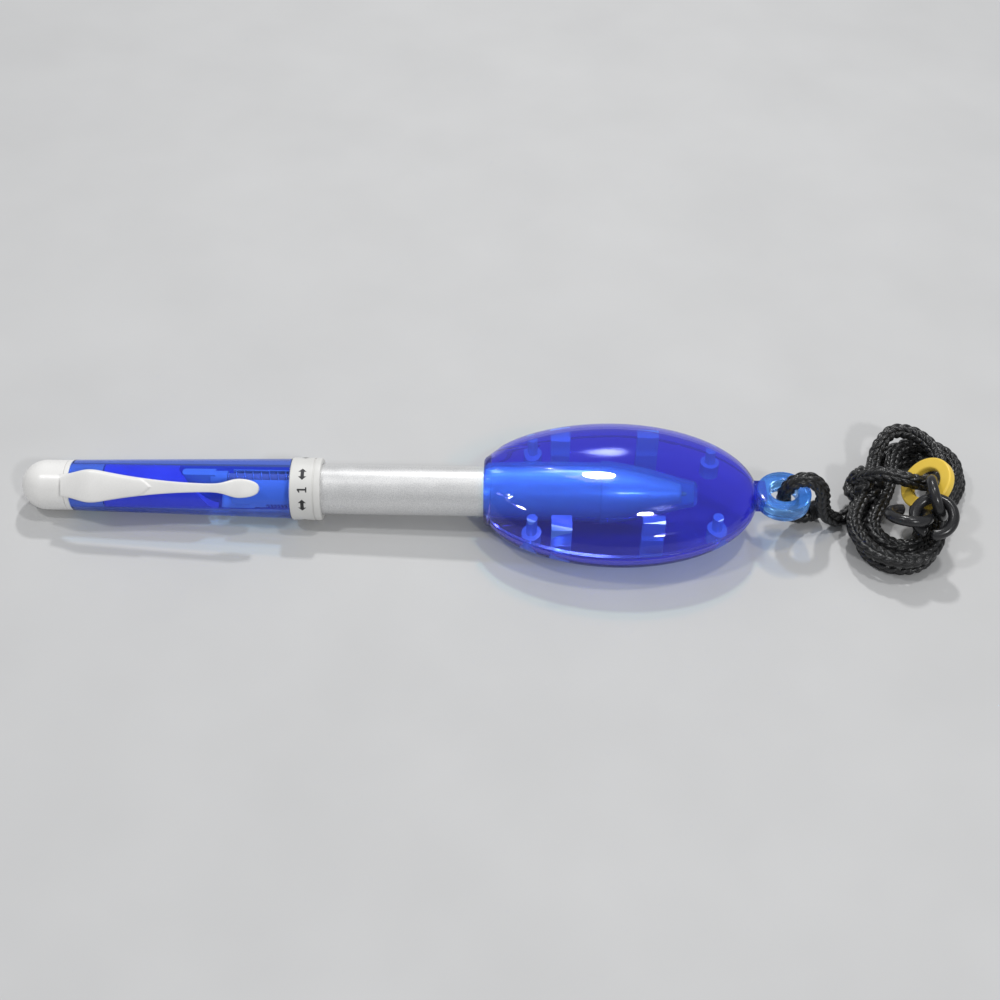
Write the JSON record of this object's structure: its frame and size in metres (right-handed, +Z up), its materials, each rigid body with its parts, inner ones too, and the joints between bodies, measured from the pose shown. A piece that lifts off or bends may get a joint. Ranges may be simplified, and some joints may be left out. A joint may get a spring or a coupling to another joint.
{
  "type": "lanyard pen",
  "caption": "Twist-action multi-colour ballpoint pen with a pocket clip, parked in an oval translucent sheath that hangs from a knitted neck cord with split rings.",
  "frame": {"origin": "on the table plane, under the middle of the pen and sheath without the lanyard", "axes": "+X from the pen's end cap to the sheath's eye, +Y away from the viewer of the picture, +Z up from the table"},
  "size_m": [0.2047, 0.0439, 0.0176],
  "materials": {
    "cap_white": "satin white moulding",
    "barrel_blue": "translucent blue moulding",
    "collar_grey": "satin grey moulding",
    "barrel_silver": "satin silver",
    "mechanism_white": "plain moulding",
    "spring_steel": "drawn wire",
    "ink_tube": "clear tube",
    "tip_brass": "turned",
    "sheath_blue": "translucent blue moulding",
    "cord_black": "knitted cord",
    "ring_black": "gloss",
    "ring_yellow": "gloss"
  },
  "bodies": {
    "sheath": {"sheath_top": "sheath_blue", "sheath_bottom": "sheath_blue", "pen_socket": "sheath_blue", "lanyard_lead": "cord_black", "lanyard_hank": "cord_black", "lanyard_tail": "cord_black", "loop_binding": "cord_black", "end_knot": "cord_black", "split_ring_1": "ring_black", "split_ring_2": "ring_black", "split_ring_3": "ring_black", "yellow_ring": "ring_yellow"},
    "pen": {"lower_barrel": "barrel_silver", "nose_cone": "barrel_silver", "refill_carrier": "mechanism_white", "slider_3": "mechanism_white", "spring_3": "spring_steel", "ink_tube_3": "ink_tube", "tip_3": "tip_brass", "spring_1": "spring_steel", "spring_2": "spring_steel"},
    "upper": {"end_cap": "cap_white", "pocket_clip": "cap_white", "upper_barrel": "barrel_blue", "selector_collar": "collar_grey", "cam_sleeve": "mechanism_white"},
    "refill_1": {"slider_1": "mechanism_white", "ink_tube_1": "ink_tube"},
    "refill_2": {"slider_2": "mechanism_white", "ink_tube_2": "ink_tube"},
    "writing_tip_1": {"tip_1": "tip_brass"},
    "writing_tip_2": {"tip_2": "tip_brass"}
  },
  "joints": [
    {"name": "pen_pull", "type": "slide", "parent": "sheath", "child": "pen", "axis": [-0.9996, 0, -0.0285], "range_m": [0, 0.05]},
    {"name": "barrel_twist", "type": "hinge", "parent": "pen", "child": "upper", "pos_m": [-0.04363, 0, 0.00629], "axis": [-0.9996, 0, -0.0285], "range_deg": [0, 120]},
    {"name": "refill_1_slide", "type": "slide", "parent": "pen", "child": "refill_1", "axis": [-0.9996, 0, -0.0285], "range_m": [0, 0.0081], "deforming": ["spring_1", "ink_tube_1"]},
    {"name": "refill_2_slide", "type": "slide", "parent": "pen", "child": "refill_2", "axis": [0.9996, 0, 0.0285], "range_m": [0, 0.008], "deforming": ["spring_2", "ink_tube_2"]},
    {"name": "tip_1_slide", "type": "slide", "parent": "pen", "child": "writing_tip_1", "axis": [-0.9462, -0.2677, -0.1816], "range_m": [0, 0.0086]},
    {"name": "tip_2_slide", "type": "slide", "parent": "pen", "child": "writing_tip_2", "axis": [0.9595, 0, -0.2819], "range_m": [0, 0.0086]}
  ],
  "couplings": [
    {"joint": "barrel_twist", "follows": "refill_2_slide", "rad_per_m": 261.8},
    {"joint": "refill_1_slide", "follows": "refill_2_slide", "ratio": 1},
    {"joint": "tip_1_slide", "follows": "refill_2_slide", "ratio": 1.0515},
    {"joint": "tip_2_slide", "follows": "refill_2_slide", "ratio": 1.0515}
  ]
}
